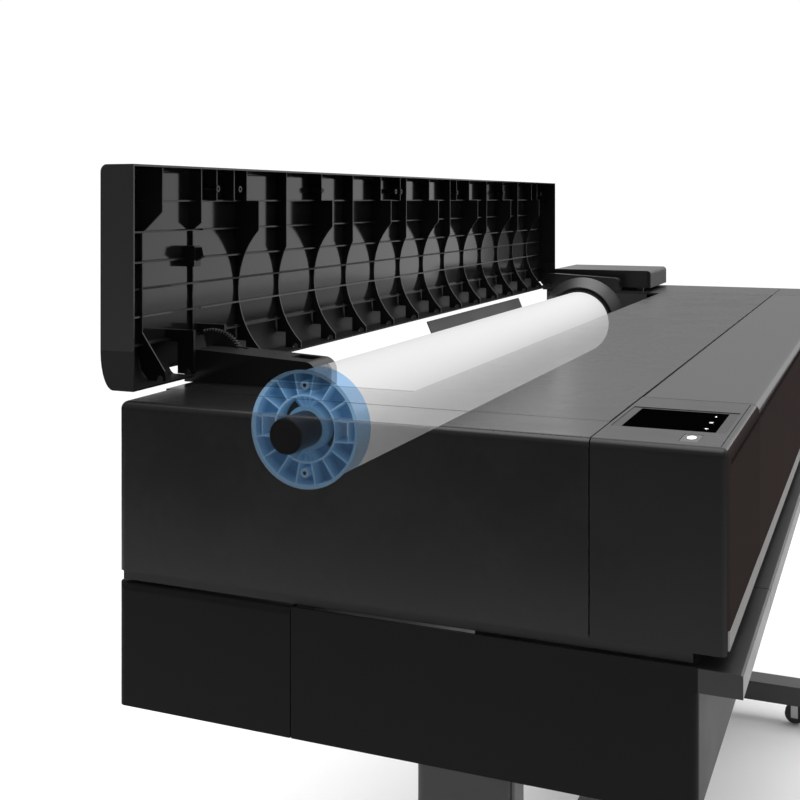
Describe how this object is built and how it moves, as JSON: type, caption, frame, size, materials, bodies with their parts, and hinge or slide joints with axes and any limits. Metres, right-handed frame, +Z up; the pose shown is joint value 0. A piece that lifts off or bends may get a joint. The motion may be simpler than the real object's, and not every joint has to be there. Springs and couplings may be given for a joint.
{
  "type": "large format plotter",
  "caption": "Wide roll-fed plotter on a wheeled stand, rear roll bay with ribbed lid swung up over a loaded paper roll, touch panel at the front corner.",
  "frame": {"origin": "on the floor under the middle of the machine", "axes": "+X along the machine away from the control panel end, -Y to the front where paper comes out, +Z up"},
  "size_m": [2.36, 0.86, 1.456],
  "materials": {
    "textured_cover": "fine dotted moulding",
    "raised_cover": "fine moulded grain",
    "smooth_cover": "fine moulded grain",
    "gloss_front": "gloss, faint warm tint",
    "bezel_grey": "satin",
    "display_black": "polished",
    "button_grey": "satin",
    "white_light": "lit",
    "bright_strip": "satin",
    "dark_band": "matte",
    "dark_sheet": "matte paint",
    "shroud_grey": "matte",
    "arm_black": "satin",
    "lid_gloss": "polished inside, fine grain outside",
    "rib_black": "satin",
    "gear_black": "satin",
    "pin_steel": "ground",
    "spindle_black": "satin",
    "hub_blue": "satin",
    "paper": "matte",
    "core_board": "raw board",
    "motor_steel": "satin",
    "zinc_sheet": "zinc plated",
    "platen_aluminium": "extruded",
    "inlet_black": "matte",
    "ledge_black": "fine moulded grain",
    "stand_paint": "powder coat",
    "foot_dark": "matte",
    "caster_steel": "zinc plated",
    "caster_rubber": "matte"
  },
  "bodies": {
    "frame": {"near_end_cover": "textured_cover", "control_panel_housing": "smooth_cover", "display_bezel": "bezel_grey", "display_glass": "display_black", "top_cover": "textured_cover", "panel_trim_strip": "bright_strip", "far_front_cover": "smooth_cover", "far_end_cover": "textured_cover", "far_raised_cover": "raised_cover", "rear_cover": "smooth_cover", "reveal_band": "dark_band", "roll_trough": "dark_sheet", "far_shroud": "shroud_grey", "near_saddle": "dark_sheet", "rear_paper_guide": "dark_sheet", "near_arm": "arm_black", "far_arm": "arm_black", "roll_motor": "motor_steel", "near_end_plate": "zinc_sheet", "far_end_plate": "zinc_sheet", "platen": "platen_aluminium", "guide_beam": "platen_aluminium", "guide_rod": "pin_steel", "base_tray": "zinc_sheet", "lower_near_rear_cover": "smooth_cover", "lower_near_front_cover": "smooth_cover", "lower_far_cover": "smooth_cover", "lower_rear_cover": "smooth_cover", "lower_front_cover": "smooth_cover", "power_inlet": "inlet_black", "front_ledge_near": "ledge_black", "front_ledge": "ledge_black", "stand_frame": "stand_paint", "levelling_feet": "foot_dark"},
    "lid": {"lid_shell": "lid_gloss", "lid_rib_frame": "rib_black", "lid_latch": "rib_black", "lid_gear_sector": "gear_black", "lid_hinge_pins": "pin_steel"},
    "lid_damper": {"damper_pinion": "gear_black"},
    "roll": {"spindle": "spindle_black", "near_hub": "hub_blue", "far_hub": "gear_black", "paper_roll": "paper", "paper_core": "core_board"},
    "roll_drive": {"roll_motor_pinion": "pin_steel"},
    "print_door": {"front_door": "gloss_front", "door_trim_strip": "bright_strip"},
    "button": {"home_button": "button_grey"},
    "ink_hatch": {"ink_door": "gloss_front"},
    "print_carriage": {"carriage": "smooth_cover"},
    "roller": {"feed_roller": "platen_aluminium"},
    "fork_near_front": {"caster_fork_near_front": "caster_steel"},
    "wheel_near_front": {"caster_wheel_near_front": "caster_rubber"},
    "fork_near_rear": {"caster_fork_near_rear": "caster_steel"},
    "wheel_near_rear": {"caster_wheel_near_rear": "caster_rubber"},
    "fork_far_front": {"caster_fork_far_front": "caster_steel"},
    "wheel_far_front": {"caster_wheel_far_front": "caster_rubber"},
    "fork_far_rear": {"caster_fork_far_rear": "caster_steel"},
    "wheel_far_rear": {"caster_wheel_far_rear": "caster_rubber"}
  },
  "joints": [
    {"name": "lid_hinge", "type": "hinge", "parent": "frame", "child": "lid", "pos_m": [0, 0.3812, 1.1652], "axis": [1, 0, 0], "range_deg": [0, 90]},
    {"name": "damper_spin", "type": "hinge", "parent": "frame", "child": "lid_damper", "pos_m": [-0.951, 0.31861, 1.174], "axis": [1, 0, 0], "range_deg": [-545, 5]},
    {"name": "roll_spin", "type": "hinge", "parent": "frame", "child": "roll", "pos_m": [0, 0.2765, 1.065], "axis": [1, 0, 0], "continuous": true},
    {"name": "roll_drive_spin", "type": "hinge", "parent": "frame", "child": "roll_drive", "pos_m": [0.866, 0.2765, 1.0258], "axis": [1, 0, 0], "continuous": true},
    {"name": "front_door_hinge", "type": "hinge", "parent": "frame", "child": "print_door", "pos_m": [0, -0.237, 1.146], "axis": [-1, 0, 0], "range_deg": [0, 75]},
    {"name": "home_button_press", "type": "slide", "parent": "frame", "child": "button", "axis": [0, 0, -1], "range_m": [0, 0.0015], "stiffness_N_per_m": 400},
    {"name": "ink_door_hinge", "type": "hinge", "parent": "frame", "child": "ink_hatch", "pos_m": [1.043, -0.38, 0.96], "axis": [1, 0, 0], "range_deg": [0, 80]},
    {"name": "carriage_slide", "type": "slide", "parent": "frame", "child": "print_carriage", "axis": [-1, 0, 0], "range_m": [0, 1.95]},
    {"name": "feed_roller_spin", "type": "hinge", "parent": "frame", "child": "roller", "pos_m": [0, -0.13, 0.962], "axis": [1, 0, 0], "continuous": true},
    {"name": "swivel_near_front", "type": "hinge", "parent": "frame", "child": "fork_near_front", "pos_m": [-0.9, -0.31, 0.06], "axis": [0, 0, 1], "continuous": true},
    {"name": "wheel_spin_near_front", "type": "hinge", "parent": "fork_near_front", "child": "wheel_near_front", "pos_m": [-0.9, -0.292, 0.028], "axis": [1, 0, 0], "continuous": true},
    {"name": "swivel_near_rear", "type": "hinge", "parent": "frame", "child": "fork_near_rear", "pos_m": [-0.9, 0.31, 0.06], "axis": [0, 0, 1], "continuous": true},
    {"name": "wheel_spin_near_rear", "type": "hinge", "parent": "fork_near_rear", "child": "wheel_near_rear", "pos_m": [-0.9, 0.328, 0.028], "axis": [1, 0, 0], "continuous": true},
    {"name": "swivel_far_front", "type": "hinge", "parent": "frame", "child": "fork_far_front", "pos_m": [0.9, -0.31, 0.06], "axis": [0, 0, 1], "continuous": true},
    {"name": "wheel_spin_far_front", "type": "hinge", "parent": "fork_far_front", "child": "wheel_far_front", "pos_m": [0.9, -0.292, 0.028], "axis": [1, 0, 0], "continuous": true},
    {"name": "swivel_far_rear", "type": "hinge", "parent": "frame", "child": "fork_far_rear", "pos_m": [0.9, 0.31, 0.06], "axis": [0, 0, 1], "continuous": true},
    {"name": "wheel_spin_far_rear", "type": "hinge", "parent": "fork_far_rear", "child": "wheel_far_rear", "pos_m": [0.9, 0.328, 0.028], "axis": [1, 0, 0], "continuous": true}
  ],
  "couplings": [
    {"joint": "damper_spin", "follows": "lid_hinge", "ratio": -6},
    {"joint": "roll_drive_spin", "follows": "roll_spin", "ratio": -3.3333}
  ]
}
